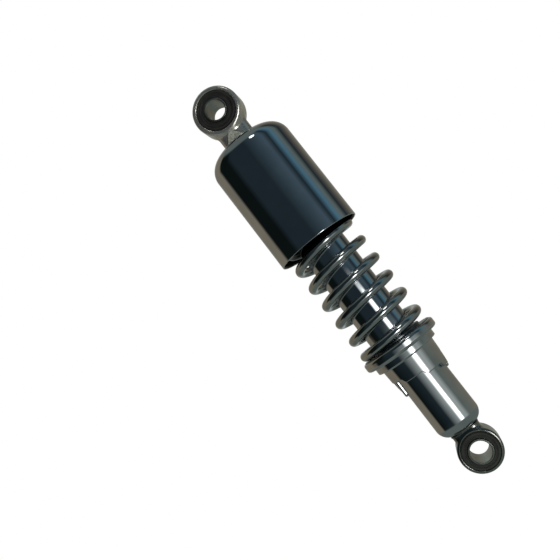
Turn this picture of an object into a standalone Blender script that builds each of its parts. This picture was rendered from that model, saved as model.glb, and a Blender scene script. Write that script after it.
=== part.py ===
"""Motorcycle rear shock absorber: twin-tube damper, coil spring, upper cover and stepped preload cam.

The shock stands upright: +Z runs along its axis from the lower eye to the upper eye, and the bolts
through the two eyes run along Y. The origin is on the axis, at the height of the lowest point.
"""
import math

import bmesh
import bpy
from mathutils import Matrix

MM = 0.001

# ---- driving dimensions --------------------------------------------------------------------------
EYE_TO_EYE = 320 * MM
GAP = 0.3 * MM                    # air left between two faces that touch on the real shock

LOWER_EYE_R = 16.5 * MM
UPPER_EYE_R = 19.7 * MM
EYE_LENGTH = 21 * MM
SLEEVE_LENGTH = 25 * MM
SLEEVE_R = 9.2 * MM
SLEEVE_BORE_R = 7.8 * MM
UPPER_RUBBER_R = 15.8 * MM
LOWER_RUBBER_R = 14 * MM

COVER_R = 34.5 * MM
COVER_WALL = 1.2 * MM
COVER_CORNER_R = 13 * MM

WIRE_R = 3.6 * MM
SPRING_R = 29.35 * MM             # over the outside of the coils
SPRING_PITCH = 16.5 * MM

TUBE_R = 17.9 * MM
TUBE_WALL = 1.6 * MM
PRESSURE_TUBE_R = 12.8 * MM
PRESSURE_TUBE_WALL = 1.4 * MM
ROD_R = 5 * MM
ROD_STEM_R = 3.5 * MM

CAM_FLANGE_R = 31 * MM
CAM_RIM_INNER_R = 29.3 * MM       # inside the flange's raised rim, round the seat washer
CAM_STEP = 3.5 * MM               # height of one preload step
CAM_STEPS = 3
CAM_START = math.radians(177)      # where the cam's level rest begins
CAM_FIRST_STEP = math.radians(63)  # from there to the end of the first step down
CAM_STEP_ANGLE = math.radians(45)  # from one step to the next
ISOLATOR_HEIGHT = CAM_STEPS * CAM_STEP + 1.1 * MM    # it takes up the whole of the cam's lift
LUG_ANGLE = math.radians(10)       # the right-hand lug; the left-hand one is opposite
LUG_HALF_ANGLE = math.radians(8)

TURN_STEPS = 32                   # facets round a large turned piece
SMALL_TURN_STEPS = 16             # round a small one
SHOWN_TURN_STEPS = 40             # and round the cover and the cam
CAM_FACET_START = math.radians(6) # so that the cam's steps fall on facets

COLLECTION_NAME = "rear_shock_absorber"


def level(height):
    """A height in millimetres above the lower eye's centre, as a Z in metres."""
    return LOWER_EYE_R + height * MM


LOWER_EYE_Z = level(0)
UPPER_EYE_Z = LOWER_EYE_Z + EYE_TO_EYE
COVER_TOP = level(288)
ISOLATOR_TOP = level(282.6)
COVER_RIM = level(190.8)
TUBE_TOP = level(199.8)
TUBE_BOTTOM = level(17.8)
SEAT_TOP = level(97)              # the face the spring stands on
CAM_TOP = level(95.5)
CAM_RIM_TOP = level(96.6)
CAM_REST_EDGE = level(73.3)       # the cam's lower edge over the stop lugs at rest


# ---- scene and helpers ---------------------------------------------------------------------------
for old in list(bpy.data.objects):
    bpy.data.objects.remove(old, do_unlink=True)

parts = bpy.data.collections.new(COLLECTION_NAME)
cutters = bpy.data.collections.new("cutters")
bpy.context.scene.collection.children.link(parts)
bpy.context.scene.collection.children.link(cutters)


def finish_material(name, color, roughness, metallic):
    """A plain Principled material."""
    material = bpy.data.materials.new(name)
    material.use_nodes = True
    shader = material.node_tree.nodes["Principled BSDF"]
    shader.inputs["Base Color"].default_value = (*color, 1)
    shader.inputs["Roughness"].default_value = roughness
    shader.inputs["Metallic"].default_value = metallic
    return material


def chrome(name):
    return finish_material(name + "_chrome", (0.80, 0.81, 0.84), 0.08, 1)


def steel(name):
    return finish_material(name + "_steel", (0.55, 0.55, 0.54), 0.35, 1)


def aluminium(name):
    return finish_material(name + "_aluminium", (0.72, 0.72, 0.71), 0.4, 1)


def brass(name):
    return finish_material(name + "_brass", (0.72, 0.55, 0.26), 0.35, 1)


def rubber(name):
    return finish_material(name + "_rubber", (0.02, 0.02, 0.02), 0.75, 0)


def plastic(name):
    return finish_material(name + "_plastic", (0.12, 0.11, 0.10), 0.5, 0)


def put(name, data, material=None, collection=parts):
    """Links a new object that holds the given mesh or curve."""
    thing = bpy.data.objects.new(name, data)
    if material:
        data.materials.append(material)
    if collection is cutters:
        thing.hide_render = True
        thing.display_type = "WIRE"
    collection.objects.link(thing)
    return thing


def turned(name, profile, material=None, steps=TURN_STEPS, closed=True, collection=parts):
    """A lathe-turned piece: (radius, z) points that run down the outer side, turned round Z."""
    mesh = bpy.data.meshes.new(name)
    last = len(profile) - 1
    edges = [(i, i + 1) for i in range(last)] + ([(last, 0)] if closed else [])
    mesh.from_pydata([(radius, 0, z) for radius, z in profile], edges, [])
    thing = put(name, mesh, material, collection)
    screw = thing.modifiers.new("Turn", "SCREW")
    screw.angle = 2 * math.pi
    screw.steps = steps
    screw.render_steps = steps
    screw.use_merge_vertices = True
    screw.merge_threshold = 1e-5
    return thing


def along_y(thing, z):
    """Lays a turned piece along Y, with its middle at the given height."""
    thing.rotation_euler = (math.pi / 2, 0, 0)
    thing.location = (0, 0, z)
    return thing


def ring(name, inner, outer, bottom, top, material, steps=SMALL_TURN_STEPS, chamfer=0.0):
    """A plain turned ring, with its outer edges chamfered."""
    profile = [(inner, top), (outer - chamfer, top), (outer, top - chamfer)]
    if chamfer == 0:
        profile = [(inner, top), (outer, top)]
    lower = [(outer, bottom + chamfer), (outer - chamfer, bottom), (inner, bottom)]
    if chamfer == 0:
        lower = [(outer, bottom), (inner, bottom)]
    return turned(name, profile + lower, material, steps)


def arc(center, radius, start, end, count):
    """Points (radius, z) on an arc, from one angle in degrees to the other."""
    angles = [math.radians(start + (end - start) * i / count) for i in range(count + 1)]
    return [(center[0] + radius * math.cos(a), center[1] + radius * math.sin(a)) for a in angles]


def disc_cutter(name, radius, bottom, top, x=0.0, y=0.0, steps=SMALL_TURN_STEPS):
    """A round bar to cut with, along Z."""
    mesh = bpy.data.meshes.new(name)
    bar = bmesh.new()
    bmesh.ops.create_cone(bar, cap_ends=True, segments=steps, radius1=radius, radius2=radius,
                          depth=top - bottom)
    bmesh.ops.translate(bar, verts=bar.verts, vec=(x, y, (top + bottom) / 2))
    bar.to_mesh(mesh)
    bar.free()
    return put(name, mesh, collection=cutters)


def prism(name, outline, bottom, top, material=None, collection=parts):
    """A flat outline of (x, y) points, extruded from one height to another."""
    mesh = bpy.data.meshes.new(name)
    solid = bmesh.new()
    face = solid.faces.new([solid.verts.new((x, y, bottom)) for x, y in outline])
    grown = bmesh.ops.extrude_face_region(solid, geom=[face])
    raised = [item for item in grown["geom"] if isinstance(item, bmesh.types.BMVert)]
    bmesh.ops.translate(solid, verts=raised, vec=(0, 0, top - bottom))
    bmesh.ops.recalc_face_normals(solid, faces=solid.faces)
    solid.to_mesh(mesh)
    solid.free()
    return put(name, mesh, material, collection)


def combine(target, tool, operation):
    """Adds a Boolean modifier to the target, and keeps the tool out of sight."""
    boolean = target.modifiers.new(tool.name, "BOOLEAN")
    boolean.operation = operation
    boolean.solver = "EXACT"
    boolean.object = tool
    return target


def as_mesh(thing):
    """Turns a piece's modifiers or curve into plain mesh data, and shades it smooth."""
    graph = bpy.context.evaluated_depsgraph_get()
    mesh = bpy.data.meshes.new_from_object(thing.evaluated_get(graph))
    mesh.name = thing.name
    if thing.type == "MESH":
        thing.modifiers.clear()
        thing.data = mesh
        return thing
    name, matrix = thing.name, thing.matrix_world.copy()
    material = thing.data.materials[0]
    bpy.data.objects.remove(thing, do_unlink=True)
    welded = bmesh.new()
    welded.from_mesh(mesh)
    bmesh.ops.remove_doubles(welded, verts=welded.verts, dist=1e-6)
    welded.to_mesh(mesh)
    welded.free()
    mesh.materials.clear()
    solid = put(name, mesh, material)
    solid.matrix_world = matrix
    return solid


# ---- the two eyes with their bonded bushes -------------------------------------------------------
def bush(prefix, z, rubber_r):
    """The steel inner sleeve and the rubber moulded round it, both along Y."""
    half = SLEEVE_LENGTH / 2
    chamfer = 0.4 * MM
    sleeve = [
        (SLEEVE_BORE_R + chamfer, half), (SLEEVE_R - chamfer, half), (SLEEVE_R, half - chamfer),
        (SLEEVE_R, -half + chamfer), (SLEEVE_R - chamfer, -half), (SLEEVE_BORE_R + chamfer, -half),
        (SLEEVE_BORE_R, -half + chamfer), (SLEEVE_BORE_R, half - chamfer),
    ]
    along_y(turned(prefix + "_inner_sleeve", sleeve, steel(prefix + "_inner_sleeve"), 24), z)
    lip = EYE_LENGTH / 2 + 0.9 * MM
    inner = SLEEVE_R + GAP
    crown = rubber_r - 1.6 * MM
    body = [
        (inner, lip), (crown, lip), (rubber_r, lip - 1.4 * MM),
        (rubber_r, 1.4 * MM - lip), (crown, -lip), (inner, -lip),
    ]
    along_y(turned(prefix + "_rubber_bush", body, rubber(prefix + "_rubber_bush"), 24), z)


def eye(name, radius, rubber_r, z, neck_x, neck_y, neck_bottom, neck_top, round_off):
    """A forged eye: a barrel across the shock, with a short neck to the next piece."""
    half = EYE_LENGTH / 2
    barrel = [(0, half), (radius - round_off, half)]
    barrel += arc((radius - round_off, half - round_off), round_off, 90, 0, 3)[1:]
    barrel += arc((radius - round_off, round_off - half), round_off, 0, -90, 3)
    barrel += [(0, -half)]
    forged = along_y(turned(name, barrel, chrome(name), TURN_STEPS, closed=False), z)
    forged = as_mesh(forged)

    neck = disc_cutter(name + "_neck", neck_x, neck_bottom, neck_top, steps=32)
    neck.data.transform(Matrix.Diagonal((1, neck_y / neck_x, 1, 1)))
    combine(forged, neck, "UNION")
    bore = disc_cutter(name + "_bore", rubber_r + GAP, -EYE_LENGTH, EYE_LENGTH, steps=32)
    along_y(bore, z)
    return combine(forged, bore, "DIFFERENCE")


def upper_eye():
    """The upper eye: its neck stands on the cover, and the rod is screwed into it from below."""
    forged = eye("upper_eye", UPPER_EYE_R, UPPER_RUBBER_R, UPPER_EYE_Z, 13.5 * MM, 10.1 * MM,
                 COVER_TOP + GAP, UPPER_EYE_Z - 8 * MM, 2.2 * MM)
    thread = disc_cutter("upper_eye_thread", ROD_R + GAP, COVER_TOP - MM, level(297.6))
    combine(forged, thread, "DIFFERENCE")


def lower_eye():
    """The lower eye: smaller and thinner, with a round neck welded to the damper body."""
    eye("lower_eye", LOWER_EYE_R, LOWER_RUBBER_R, LOWER_EYE_Z, 11.2 * MM, 10.1 * MM,
        level(7), TUBE_BOTTOM - GAP, 1.8 * MM)


# ---- upper half: cover, spring seat and piston rod -----------------------------------------------
def cover():
    """The deep-drawn upper cover: a thin cylinder with a rounded shoulder, open below."""
    corner = (COVER_R - COVER_CORNER_R, COVER_TOP - COVER_CORNER_R)
    hole = ROD_R + GAP
    outer = arc(corner, COVER_CORNER_R, 90, 0, 6)
    inner = arc(corner, COVER_CORNER_R - COVER_WALL, 0, 90, 5)
    profile = [(hole, COVER_TOP)] + outer
    profile += [(COVER_R, COVER_RIM), (COVER_R - COVER_WALL, COVER_RIM)]
    profile += inner + [(hole, COVER_TOP - COVER_WALL)]
    turned("upper_shroud", profile, chrome("upper_shroud"), SHOWN_TURN_STEPS)


def top_seat():
    """The pressed plate under the cover's top, and the waisted rubber ring over the spring."""
    hole = ROD_R + GAP
    plate_top = level(285)
    plate_bottom = level(282.9)
    plate = [
        (hole, COVER_TOP - COVER_WALL - GAP), (13 * MM, COVER_TOP - COVER_WALL - GAP),
        (15 * MM, plate_top), (27.3 * MM, plate_top), (27.3 * MM, plate_bottom),
        (hole, plate_bottom),
    ]
    turned("top_spring_seat", plate, steel("top_spring_seat"), TURN_STEPS)
    inner, outer, waist_r = 21.8 * MM, 28.3 * MM, 26.6 * MM
    bottom = ISOLATOR_TOP - ISOLATOR_HEIGHT
    waist = (bottom + ISOLATOR_TOP) / 2
    isolator = [
        (inner, ISOLATOR_TOP), (outer - MM, ISOLATOR_TOP), (outer, ISOLATOR_TOP - MM),
        (outer, waist + 2 * MM), (waist_r, waist), (outer, waist - 2 * MM),
        (outer, bottom + MM), (outer - MM, bottom), (inner, bottom),
    ]
    turned("top_spring_isolator", isolator, rubber("top_spring_isolator"), TURN_STEPS)


def hex_nut(name, across_flats, bore, bottom, top):
    """A hexagon nut round the rod."""
    corner = across_flats / 2 / math.cos(math.pi / 6)
    corners = [math.pi / 3 * i for i in range(6)]
    outline = [(corner * math.cos(a), corner * math.sin(a)) for a in corners]
    nut = prism(name, outline, bottom, top, steel(name))
    hole = disc_cutter(name + "_bore", bore, bottom - MM, top + MM)
    return combine(nut, hole, "DIFFERENCE")


def rod():
    """The hard-chromed rod: its thread in the upper eye, its thin stem through the piston."""
    profile = [
        (0, level(297.2)), (ROD_R - 0.8 * MM, level(297.2)), (ROD_R, level(296.4)),
        (ROD_R, level(166)), (ROD_STEM_R, level(166)),
        (ROD_STEM_R, level(142.6)), (ROD_STEM_R - 0.6 * MM, level(142)), (0, level(142)),
    ]
    turned("piston_rod", profile, chrome("piston_rod"), SMALL_TURN_STEPS, closed=False)


def bump_stop():
    """The waisted rubber buffer below the rod's lock nut."""
    hole = ROD_R + GAP
    top, bottom = level(276.2), level(260.4)
    waist = (top + bottom) / 2
    profile = [
        (hole, top), (11 * MM, top), (11.6 * MM, top - 3 * MM), (9.4 * MM, waist),
        (10.8 * MM, bottom + 3.4 * MM), (8.6 * MM, bottom), (hole, bottom),
    ]
    turned("bump_stop", profile, rubber("bump_stop"), SMALL_TURN_STEPS)


def piston():
    """The piston with its ports and its ring, between two valve discs and under a stop ring."""
    stem = ROD_STEM_R + GAP
    disc_r = 9.6 * MM
    ring("rebound_stop", ROD_R + GAP, 9.8 * MM, level(166.3), level(176.7), rubber("rebound_stop"),
         chamfer=1 * MM)
    ring("compression_valve_disc", stem, disc_r, level(164.9), level(165.7),
         steel("compression_valve_disc"))
    groove_r = 10 * MM
    body = [
        (stem, level(164.6)), (10.9 * MM, level(164.6)), (10.9 * MM, level(161.5)),
        (groove_r, level(161.5)), (groove_r, level(155.7)), (10.9 * MM, level(155.7)),
        (10.9 * MM, level(152.6)), (stem, level(152.6)),
    ]
    block = as_mesh(turned("piston", body, steel("piston"), SMALL_TURN_STEPS))
    ports, port_circle, port_r = 6, 7.4 * MM, 1.1 * MM
    for i in range(ports):
        around = 2 * math.pi * (i + 0.45) / ports
        port = disc_cutter(f"piston_port_{i + 1}", port_r, level(152), level(166),
                           port_circle * math.cos(around), port_circle * math.sin(around), 10)
        combine(block, port, "DIFFERENCE")
    ring("piston_ring", groove_r + GAP, 11.1 * MM, level(156), level(161.2),
         plastic("piston_ring"), SMALL_TURN_STEPS)
    ring("rebound_valve_disc", stem, disc_r, level(151.5), level(152.3),
         steel("rebound_valve_disc"))
    hex_nut("piston_nut", 12 * MM, stem, level(145), level(151.2))


# ---- the spring ----------------------------------------------------------------------------------
def spring():
    """The right-handed coil spring, with its end turns closed down onto the two seats."""
    bottom = SEAT_TOP + GAP + WIRE_R
    top = ISOLATOR_TOP - ISOLATOR_HEIGHT - GAP - WIRE_R
    closing = math.pi                       # the pitch grows over half a turn at each end
    flat = math.pi / 2                      # and the last quarter turn lies flat
    first_flat_end = math.radians(150)
    free_turns = (top - bottom) / SPRING_PITCH - closing / (2 * math.pi)
    free = free_turns * 2 * math.pi
    rise_per_radian = SPRING_PITCH / (2 * math.pi)
    steps_per_turn = 16

    total = flat + closing + free + closing + flat
    count = round(total / (2 * math.pi) * steps_per_turn)

    def rise(angle):
        """How far the wire has risen at an angle counted from the bottom tip."""
        turning = min(max(angle - flat, 0), closing)
        height = turning ** 2 / (2 * closing)
        height += min(max(angle - flat - closing, 0), free)
        left = min(max(angle - flat - closing - free, 0), closing)
        return (height + left - left ** 2 / (2 * closing)) * rise_per_radian

    curve = bpy.data.curves.new("coil_spring", "CURVE")
    curve.dimensions = "3D"
    curve.bevel_depth = WIRE_R
    curve.bevel_resolution = 2
    curve.use_fill_caps = True
    line = curve.splines.new("POLY")
    line.points.add(count)
    mean = SPRING_R - WIRE_R
    start = first_flat_end - flat
    for i in range(count + 1):
        angle = total * i / count
        around = start + angle
        line.points[i].co = (mean * math.cos(around), mean * math.sin(around), bottom + rise(angle), 1)
    put("coil_spring", curve, chrome("coil_spring"))


# ---- lower half: damper body and what is in it ---------------------------------------------------
def damper_body():
    """The outer tube, drawn in one with its rounded bottom."""
    corner_r = 9 * MM
    inner_r = TUBE_R - TUBE_WALL
    floor = TUBE_BOTTOM + 2 * MM
    inner_corner_r = corner_r - TUBE_WALL
    profile = [(0, floor)]
    profile += arc((inner_r - inner_corner_r, floor + inner_corner_r), inner_corner_r, -90, 0, 3)
    profile += [(inner_r, TUBE_TOP), (TUBE_R, TUBE_TOP)]
    profile += arc((TUBE_R - corner_r, TUBE_BOTTOM + corner_r), corner_r, 0, -90, 5)
    profile += [(0, TUBE_BOTTOM)]
    turned("damper_body", profile, chrome("damper_body"), TURN_STEPS, closed=False)


def gland():
    """What closes the tube round the rod: guide, bush, oil seal, screwed ring and dust wiper."""
    inner_r = TUBE_R - TUBE_WALL - GAP
    spigot_r = PRESSURE_TUBE_R - PRESSURE_TUBE_WALL - GAP
    bush_r = ROD_R + 1.3 * MM
    guide = [
        (bush_r, level(190)), (inner_r, level(190)), (inner_r, level(181.4)),
        (spigot_r, level(181.4)), (spigot_r, level(177)), (bush_r, level(177)),
    ]
    turned("rod_guide", guide, aluminium("rod_guide"), TURN_STEPS)
    ring("rod_guide_bush", ROD_R + 0.2 * MM, bush_r - GAP, level(178), level(189),
         brass("rod_guide_bush"))
    ring("rod_oil_seal", ROD_R + GAP, inner_r, level(190.3), level(194.5), rubber("rod_oil_seal"),
         TURN_STEPS)
    wiper_r = 7 * MM
    ring("gland_ring", wiper_r + GAP, inner_r, level(194.8), level(199.5), steel("gland_ring"),
         TURN_STEPS)
    wiper = [
        (ROD_R + GAP, level(199.8)), (ROD_R + 0.9 * MM, level(199.8)), (wiper_r, level(198)),
        (wiper_r, level(194.9)), (ROD_R + GAP, level(194.9)),
    ]
    turned("dust_wiper", wiper, rubber("dust_wiper"), SMALL_TURN_STEPS)


def pressure_tube():
    """The inner tube that the piston runs in."""
    ring("pressure_tube", PRESSURE_TUBE_R - PRESSURE_TUBE_WALL, PRESSURE_TUBE_R,
         level(31.3), level(181.1), steel("pressure_tube"), TURN_STEPS)


def foot_valve():
    """The valve at the bottom of the pressure tube: body, disc, light spring and rivet."""
    hole = 2.2 * MM
    spigot_r = PRESSURE_TUBE_R - PRESSURE_TUBE_WALL - GAP
    body = [
        (hole, level(35)), (spigot_r, level(35)), (spigot_r, level(31)),
        (PRESSURE_TUBE_R, level(31)), (PRESSURE_TUBE_R, level(27.5)), (8 * MM, level(24)),
        (8 * MM, level(20.1)), (hole, level(20.1)),
    ]
    turned("foot_valve_body", body, aluminium("foot_valve_body"), SMALL_TURN_STEPS)
    ring("foot_valve_disc", hole + 0.2 * MM, 8.4 * MM, level(35.3), level(36),
         steel("foot_valve_disc"))
    stem_r = hole - GAP
    rivet = [
        (0, level(43.6)), (5.6 * MM, level(43.6)), (5.6 * MM, level(42.2)), (stem_r, level(42.2)),
        (stem_r, level(22)), (0, level(22)),
    ]
    turned("foot_valve_rivet", rivet, steel("foot_valve_rivet"), 16, closed=False)

    wire_r, turns, steps_per_turn = 0.45 * MM, 3, 10
    bottom = level(36.3) + wire_r
    top = level(41.9) - wire_r
    curve = bpy.data.curves.new("foot_valve_spring", "CURVE")
    curve.dimensions = "3D"
    curve.bevel_depth = wire_r
    curve.bevel_resolution = 1
    curve.use_fill_caps = True
    line = curve.splines.new("POLY")
    count = turns * steps_per_turn
    line.points.add(count)
    for i in range(count + 1):
        around = 2 * math.pi * i / steps_per_turn
        z = bottom + (top - bottom) * i / count
        line.points[i].co = (4.3 * MM * math.cos(around), 4.3 * MM * math.sin(around), z, 1)
    put("foot_valve_spring", curve, steel("foot_valve_spring"))


# ---- the preload adjuster ------------------------------------------------------------------------
def stop_lugs():
    """Two curved lugs welded on the tube, half a turn apart, that carry the preload cam."""
    inner, outer = TUBE_R + GAP, 20 * MM
    bottom, top = level(59.6), CAM_REST_EDGE - GAP
    count = 4
    for name, middle in (("cam_stop_lug_left", LUG_ANGLE + math.pi), ("cam_stop_lug_right", LUG_ANGLE)):
        angles = [middle + LUG_HALF_ANGLE * (2 * i / count - 1) for i in range(count + 1)]
        outline = [(outer * math.cos(a), outer * math.sin(a)) for a in angles]
        outline += [(inner * math.cos(a), inner * math.sin(a)) for a in reversed(angles)]
        prism(name, outline, bottom, top, chrome(name))


def cam_edge(around):
    """Height of the cam's lower edge at an angle: a level rest, then the steps down, and back."""
    beyond = (around - CAM_START + 1e-4) % math.pi - 1e-4
    ramp = math.radians(9)
    drop = 0.0
    for step in range(CAM_STEPS):
        riser_end = CAM_FIRST_STEP + CAM_STEP_ANGLE * step
        drop += CAM_STEP * min(max((beyond - riser_end + ramp) / ramp, 0), 1)
    back = min(max((beyond - math.pi + ramp) / ramp, 0), 1)
    return CAM_REST_EDGE - drop * (1 - back)


def preload_cam():
    """The adjuster: a spanner flange on a sleeve whose lower edge is a stepped cam."""
    bore = TUBE_R + 0.35 * MM
    flange_bottom = level(89.3)
    collar_bottom = level(84)
    edge = 2 * MM
    rim_edge = CAM_FLANGE_R - CAM_RIM_INNER_R - 0.4 * MM
    profile = [(bore, CAM_TOP), (CAM_RIM_INNER_R, CAM_TOP), (CAM_RIM_INNER_R, CAM_RIM_TOP)]
    profile += arc((CAM_FLANGE_R - rim_edge, CAM_RIM_TOP - rim_edge), rim_edge, 90, 0, 2)
    profile += arc((CAM_FLANGE_R - edge, flange_bottom + edge), edge, 0, -90, 2)
    profile += [
        (25.6 * MM, flange_bottom), (25.6 * MM, collar_bottom + 1.2 * MM),
        (24.4 * MM, collar_bottom), (22.2 * MM, collar_bottom),
        (21 * MM, CAM_REST_EDGE), (bore, CAM_REST_EDGE),
    ]
    cam = as_mesh(turned("preload_cam", profile, chrome("preload_cam"), SHOWN_TURN_STEPS))
    cam.data.transform(Matrix.Rotation(CAM_FACET_START, 4, "Z"))
    for vertex in cam.data.vertices:
        if vertex.co.z < CAM_REST_EDGE + 0.01 * MM:
            vertex.co.z = cam_edge(math.atan2(vertex.co.y, vertex.co.x))
    slots, slot_pitch, slot_width, slot_floor = 3, math.radians(52), 6 * MM, 28.4 * MM
    for i in range(slots):
        around = math.pi / 2 + slot_pitch * (i - 1)
        outline = [
            (slot_floor, -slot_width / 2), (CAM_FLANGE_R + MM, -slot_width / 2),
            (CAM_FLANGE_R + MM, slot_width / 2), (slot_floor, slot_width / 2),
        ]
        slot = prism(f"cam_spanner_slot_{i + 1}", outline, flange_bottom - MM, CAM_RIM_TOP + MM,
                     collection=cutters)
        slot.rotation_euler = (0, 0, around)
        combine(cam, slot, "DIFFERENCE")


def spring_seat():
    """The washer on the cam that the spring stands on, with a lip that centres the coils."""
    bore = TUBE_R + 0.35 * MM
    lip_r = SPRING_R - 2 * WIRE_R - 0.6 * MM
    profile = [
        (bore, SEAT_TOP + 2.6 * MM), (lip_r - MM, SEAT_TOP + 2.6 * MM), (lip_r, SEAT_TOP + 1.6 * MM),
        (lip_r, SEAT_TOP), (29 * MM, SEAT_TOP), (29 * MM, CAM_TOP + GAP),
        (bore, CAM_TOP + GAP),
    ]
    turned("spring_seat_washer", profile, chrome("spring_seat_washer"), TURN_STEPS)


bush("upper", UPPER_EYE_Z, UPPER_RUBBER_R)
upper_eye()
cover()
top_seat()
hex_nut("rod_lock_nut", 17 * MM, ROD_R + GAP, level(276.5), level(282.6))
bump_stop()
rod()
piston()
spring()
gland()
pressure_tube()
foot_valve()
damper_body()
stop_lugs()
spring_seat()
preload_cam()
lower_eye()
bush("lower", LOWER_EYE_Z, LOWER_RUBBER_R)
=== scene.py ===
"""A motorcycle rear shock absorber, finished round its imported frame: forged eyes with bonded rubber
bushes, a deep-drawn cover, a coil spring, the stepped preload cam and the twin-tube damper."""
import math

import bmesh
import bpy
import numpy as np
from mathutils import Matrix, Vector


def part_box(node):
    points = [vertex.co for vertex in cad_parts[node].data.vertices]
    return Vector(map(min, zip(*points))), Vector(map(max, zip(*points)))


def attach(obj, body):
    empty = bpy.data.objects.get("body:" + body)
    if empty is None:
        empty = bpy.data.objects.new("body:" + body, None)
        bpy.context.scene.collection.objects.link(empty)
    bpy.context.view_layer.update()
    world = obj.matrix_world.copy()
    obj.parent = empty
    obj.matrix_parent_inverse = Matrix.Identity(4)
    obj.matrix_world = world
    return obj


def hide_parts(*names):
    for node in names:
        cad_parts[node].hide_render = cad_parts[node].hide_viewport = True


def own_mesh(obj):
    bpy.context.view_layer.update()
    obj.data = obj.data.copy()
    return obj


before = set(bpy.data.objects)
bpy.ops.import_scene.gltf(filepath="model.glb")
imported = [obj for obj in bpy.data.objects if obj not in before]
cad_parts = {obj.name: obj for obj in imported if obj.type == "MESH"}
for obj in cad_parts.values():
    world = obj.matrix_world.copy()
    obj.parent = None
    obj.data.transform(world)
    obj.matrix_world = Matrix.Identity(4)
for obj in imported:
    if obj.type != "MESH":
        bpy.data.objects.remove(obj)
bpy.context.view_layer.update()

MM = 0.001


# ---- Upper cover ---------------------------------------------------------------------------------
# The deep-drawn steel cover over the upper half of the spring: a thin cylinder with a rounded
# shoulder, open below, with its rim rolled in. It is polished and plated with bright chrome.
def add_node(material, kind, settings=None, **links):
    """Adds a shader node with its settings, and links each named input to an output socket."""
    node = material.node_tree.nodes.new(kind)
    for name, value in (settings or {}).items():
        if hasattr(node, name):
            setattr(node, name, value)
        else:
            node.inputs[int(name) if name.isdigit() else name].default_value = value
    for name, output in links.items():
        target = int(name[2:]) if name.startswith("in") and name[2:].isdigit() else name
        material.node_tree.links.new(output, node.inputs[target])
    return node


def linear(colour):
    """An sRGB hex colour as linear red, green, blue and alpha."""
    parts = [int(colour[i:i + 2], 16) / 255 for i in (1, 3, 5)]
    return (*[p / 12.92 if p <= 0.04045 else ((p + 0.055) / 1.055) ** 2.4 for p in parts], 1.0)


def new_material(name, **values):
    """A material with one Principled shader, whose constant inputs are set on its own sockets."""
    material = bpy.data.materials.new(name)
    material.use_nodes = True
    shader = material.node_tree.nodes["Principled BSDF"]
    for key, value in values.items():
        shader.inputs[key.replace("_", " ")].default_value = value
    return material, shader


def speckle(material, size, detail=3.0, stretch=(1, 1, 1), roughness=0.55):
    """A noise whose grains are about the given size in metres, stretched along the axes."""
    place = add_node(material, "ShaderNodeTexCoord")
    scale = add_node(material, "ShaderNodeMapping", {"Scale": stretch}, Vector=place.outputs["Object"])
    return add_node(material, "ShaderNodeTexNoise", {"Scale": 1 / size, "Detail": detail,
                    "Roughness": roughness}, Vector=scale.outputs["Vector"]).outputs["Fac"]


def ramp(material, value, stops):
    """A colour ramp with (position, hex colour) stops."""
    node = add_node(material, "ShaderNodeValToRGB", Fac=value)
    bar = node.color_ramp.elements
    while len(bar) < len(stops):
        bar.new(0.5)
    for element, (position, colour) in zip(bar, stops):
        element.position = position
        element.color = linear(colour)
    return node.outputs["Color"]


def spread(material, value, low, high):
    """A 0 to 1 value spread from low to high."""
    return add_node(material, "ShaderNodeMapRange", {"To Min": low, "To Max": high},
                    Value=value).outputs["Result"]


def bump(material, shader, value, depth, strength=1.0):
    """Relief of the given depth in metres on the shader's normal."""
    node = add_node(material, "ShaderNodeBump", {"Distance": depth, "Strength": strength},
                    Height=value)
    material.node_tree.links.new(node.outputs["Normal"], shader.inputs["Normal"])


def bright_chrome(name, tint, wave, drawn, gloss=(0.02, 0.06), metallic=1.0):
    """Bright chrome plate: a mirror with a faint bluish cast, slightly uneven where the steel under
    it was drawn and polished by hand, with a haze of fine wiping marks."""
    material, shader = new_material(name, Metallic=metallic)
    cloud = speckle(material, 18 * MM, 2)
    colour = ramp(material, cloud, [(0.35, tint[0]), (0.65, tint[1])])
    material.node_tree.links.new(colour, shader.inputs["Base Color"])
    wiped = speckle(material, 1.4 * MM, 4, drawn)
    haze = spread(material, wiped, *gloss)
    material.node_tree.links.new(haze, shader.inputs["Roughness"])
    bump(material, shader, speckle(material, wave, 1, drawn), 0.004 * MM, 0.35)
    return material


def revolve(name, profile, steps, material, smooth_angle=30):
    """A lathe-turned mesh: (radius, z) points run down the outer side, and a point on the axis
    closes the surface there."""
    mesh = bpy.data.meshes.new(name)
    shape = bmesh.new()
    rows = []
    for radius, z in profile:
        if radius < 1e-7:
            rows.append([shape.verts.new((0, 0, z))] * steps)
            continue
        turn = [2 * math.pi * i / steps for i in range(steps)]
        rows.append([shape.verts.new((radius * math.cos(a), radius * math.sin(a), z)) for a in turn])
    closed = profile[0][0] > 1e-7
    pairs = list(zip(rows, rows[1:])) + ([(rows[-1], rows[0])] if closed else [])
    for upper, lower in pairs:
        for i in range(steps):
            corners = [upper[i], lower[i], lower[i - steps + 1], upper[i - steps + 1]]
            shape.faces.new(dict.fromkeys(corners))
    bmesh.ops.recalc_face_normals(shape, faces=shape.faces)
    shape.to_mesh(mesh)
    shape.free()
    mesh.shade_smooth()
    mesh.set_sharp_from_angle(angle=math.radians(smooth_angle))
    mesh.materials.append(material)
    thing = bpy.data.objects.new(name, mesh)
    bpy.context.scene.collection.objects.link(thing)
    return thing


def arc(center, radius, start, end, count=8):
    """Points (radius, z) on an arc between two angles in degrees."""
    angles = [math.radians(start + (end - start) * i / count) for i in range(count + 1)]
    return [(center[0] + radius * math.cos(a), center[1] + radius * math.sin(a)) for a in angles]


def upright(low, high, top, bottom, count):
    """Points straight down between two heights, so that long walls have enough rows."""
    return [(low + (high - low) * i / count, top + (bottom - top) * i / count)
            for i in range(1, count)]


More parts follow.
